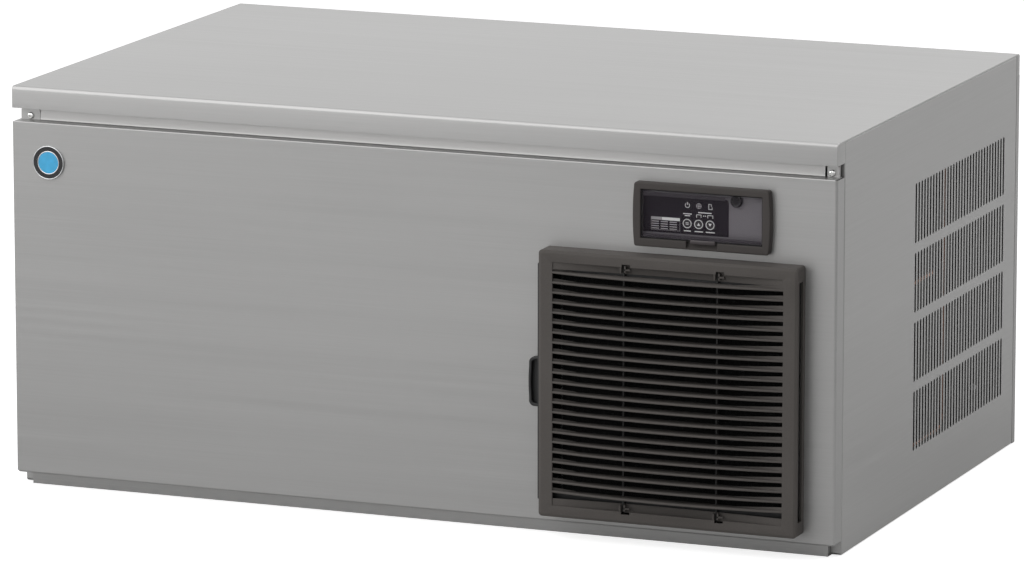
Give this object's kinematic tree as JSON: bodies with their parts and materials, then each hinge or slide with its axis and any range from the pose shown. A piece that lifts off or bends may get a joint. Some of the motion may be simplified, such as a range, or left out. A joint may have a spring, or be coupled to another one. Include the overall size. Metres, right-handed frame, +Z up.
{
  "type": "modular ice cube machine",
  "caption": "Low wide stainless ice machine head with a bowed grey louvre, slide-out air filter, hinged control window and tilting water plate inside.",
  "frame": {"origin": "centre of the footprint at the underside of the base", "axes": "+Z up, +X to the right seen from the front, the front with the louvre faces -Y"},
  "size_m": [1.084, 0.762, 0.507],
  "materials": {
    "brushed_stainless": "fine brushed stainless steel",
    "galvanised_steel": "galvanised sheet",
    "inner_stainless": "plain stainless steel",
    "louvre_grey": "satin moulded plastic, warm dark grey",
    "bezel_grey": "satin moulded plastic, warm dark grey",
    "filter_black": "satin black plastic",
    "smoked_clear": "clear smoked plastic",
    "panel_print": "printed panel, dark violet grey",
    "button_black": "satin black plastic",
    "badge_chrome": "bright metal ring",
    "circuit_board": "lacquered circuit board",
    "white_plastic": "moulded white plastic",
    "copper": "bare copper",
    "black_plastic": "satin black plastic",
    "fan_grey": "moulded grey plastic",
    "black_enamel": "black enamel",
    "rubber": "black rubber",
    "aluminium_fins": "plain aluminium fins",
    "brass": "plain brass"
  },
  "bodies": {
    "body": {"top_panel": "brushed_stainless", "left_side_panel": "brushed_stainless", "right_side_panel": "brushed_stainless", "front_panel": "brushed_stainless", "front_rail": "brushed_stainless", "front_screw_left": "brushed_stainless", "front_screw_right": "brushed_stainless", "base_pan": "galvanised_steel", "rear_panel": "galvanised_steel", "control_box": "galvanised_steel", "fan_shroud": "galvanised_steel", "motor_bracket": "galvanised_steel", "front_hanger_bar": "inner_stainless", "rear_hanger_bar": "inner_stainless", "pivot_shaft": "inner_stainless", "louvre": "louvre_grey", "control_bezel": "bezel_grey", "control_plate": "panel_print", "panel_plug": "button_black", "badge": "badge_chrome", "circuit_board": "circuit_board", "ice_liner": "white_plastic", "inner_cover": "white_plastic", "ice_chute": "white_plastic", "drain_pan": "white_plastic", "drain_outlet": "white_plastic", "water_valve": "white_plastic", "evaporator": "copper", "evaporator_coil": "copper", "discharge_pipe": "copper", "liquid_pipe": "copper", "suction_pipe": "copper", "feed_pipe": "copper", "filter_drier": "copper", "cable_gland": "black_plastic", "compressor": "black_enamel", "fan_motor": "black_enamel", "actuator_motor": "black_enamel", "grommet_1": "rubber", "grommet_2": "rubber", "grommet_3": "rubber", "grommet_4": "rubber", "condenser": "aluminium_fins", "water_inlet": "brass"},
    "filter": {"air_filter": "filter_black", "filter_screen": "filter_black"},
    "cover": {"control_cover": "smoked_clear"},
    "reset": {"reset_button": "button_black"},
    "up": {"up_button": "button_black"},
    "down": {"down_button": "button_black"},
    "fan": {"fan_blade": "fan_grey"},
    "plate": {"water_plate": "white_plastic", "water_tank": "white_plastic", "circulation_pump": "black_plastic", "plate_spring_left": "inner_stainless", "plate_spring_right": "inner_stainless"},
    "cam": {"cam_shaft": "inner_stainless", "cam_arm_left": "galvanised_steel", "cam_arm_right": "galvanised_steel"}
  },
  "joints": [
    {"name": "filter_slide", "type": "slide", "parent": "body", "child": "filter", "axis": [-1, 0, 0], "range_m": [0, 0.33]},
    {"name": "cover_hinge", "type": "hinge", "parent": "body", "child": "cover", "pos_m": [0.3737, -0.34988, 0.4358], "axis": [-1, 0, 0], "range_deg": [0, 100]},
    {"name": "reset_press", "type": "slide", "parent": "body", "child": "reset", "axis": [0, 1, 0], "range_m": [0, 0.0008], "stiffness_N_per_m": 800},
    {"name": "up_press", "type": "slide", "parent": "body", "child": "up", "axis": [0, 1, 0], "range_m": [0, 0.0008], "stiffness_N_per_m": 800},
    {"name": "down_press", "type": "slide", "parent": "body", "child": "down", "axis": [0, 1, 0], "range_m": [0, 0.0008], "stiffness_N_per_m": 800},
    {"name": "fan_spin", "type": "hinge", "parent": "body", "child": "fan", "pos_m": [0.335, -0.2517, 0.192], "axis": [0, 1, 0], "continuous": true},
    {"name": "plate_tilt", "type": "hinge", "parent": "body", "child": "plate", "pos_m": [-0.478, 0.104, 0.372], "axis": [1, 0, 0], "range_deg": [0, 22], "deforming": ["plate_spring_left", "plate_spring_right"]},
    {"name": "cam_turn", "type": "hinge", "parent": "body", "child": "cam", "pos_m": [-0.5117, -0.256, 0.402], "axis": [1, 0, 0], "range_deg": [0, 150]}
  ],
  "couplings": [
    {"joint": "cam_turn", "follows": "plate_tilt", "ratio": 6.818}
  ]
}
